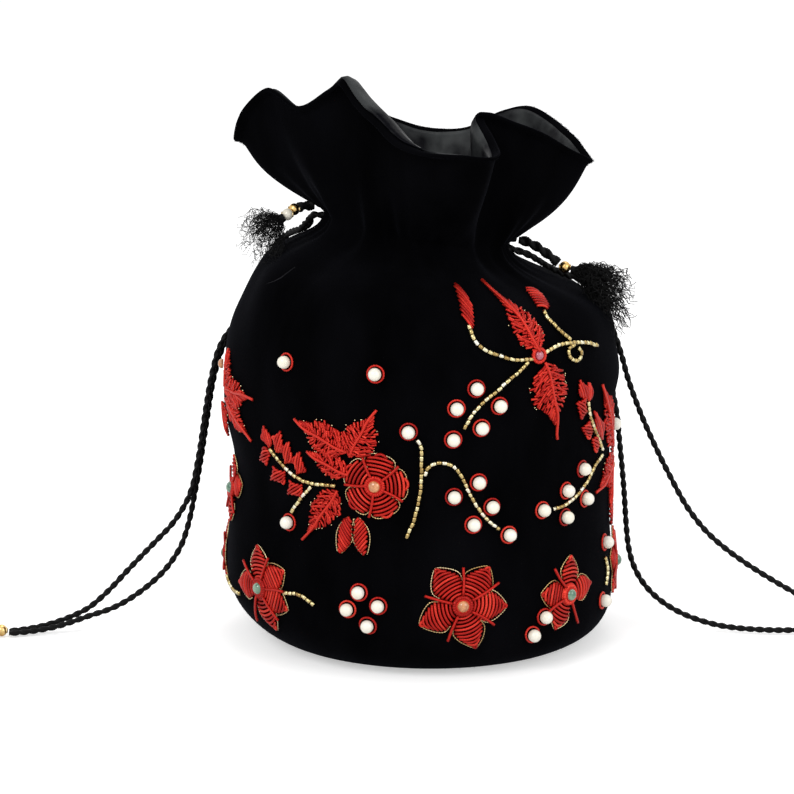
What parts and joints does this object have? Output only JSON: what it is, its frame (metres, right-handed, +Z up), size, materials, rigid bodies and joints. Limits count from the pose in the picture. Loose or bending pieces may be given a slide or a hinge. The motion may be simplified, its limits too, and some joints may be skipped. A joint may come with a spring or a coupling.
{
  "type": "potli bag",
  "caption": "Round drawstring potli pouch in black velvet with a flared frill, satin lining, twisted cords with tassels, and red floral zardozi embroidery with pearls.",
  "frame": {"origin": "centre of the bag without its loose cords, on the surface that it stands on", "axes": "+Z up through the neck, front of the bag faces -Y, +X to the right seen from the front"},
  "size_m": [0.4096, 0.163, 0.2273],
  "materials": {
    "velvet": "matt black pile",
    "satin": "dark grey satin",
    "board": "plain grey board",
    "cord": "black twisted cord",
    "gold": "polished gold",
    "coil": "coral red coiled thread",
    "bugle": "cut champagne gold beads",
    "amber": "polished amber brown",
    "green": "polished sea green",
    "ruby": "polished rose red"
  },
  "bodies": {
    "root": {"base_board": "board", "bead_left_end": "gold", "bead_left_tie_1": "gold", "bead_left_tie_2": "gold", "bead_right_end": "gold", "bead_right_tie": "gold", "cord_left_back": "cord", "cord_left_front": "cord", "cord_right_back": "cord", "cord_right_front": "cord", "flower_base_back": "coil", "flower_base_back_left": "coil", "flower_base_back_right": "coil", "flower_base_far_left": "coil", "flower_base_far_right": "coil", "flower_base_front": "coil", "flower_base_left": "coil", "flower_base_right": "coil", "flower_front_mid": "coil", "flower_left_mid": "coil", "leaf_hanging": "coil", "leaf_left": "coil", "leaf_left_high": "coil", "leaf_left_low": "coil", "leaf_left_side": "coil", "leaf_low": "coil", "leaf_pair": "coil", "leaf_right_high": "coil", "leaf_right_low": "coil", "leaf_striped_left": "coil", "leaf_striped_right": "coil", "leaf_top": "coil", "satin_lining": "satin", "spray_bud_left": "bugle", "spray_bud_right": "bugle", "spray_tall": "bugle", "sprig_left": "bugle", "sprig_right": "bugle", "stem_base_left": "bugle", "stem_base_mid": "bugle", "stem_base_right": "bugle", "stone_base_back": "green", "stone_base_back_left": "amber", "stone_base_back_right": "amber", "stone_base_far_left": "green", "stone_base_far_right": "green", "stone_base_front": "amber", "stone_base_left": "green", "stone_base_right": "green", "stone_front_mid": "amber", "stone_left_mid": "green", "stone_spray": "ruby", "tassel_left_end": "cord", "tassel_left_tie": "cord", "tassel_right_end": "cord", "tassel_right_tie": "cord", "tie_left": "cord", "tie_right": "cord", "velvet_base": "velvet", "velvet_outer": "velvet"}
  },
  "joints": []
}
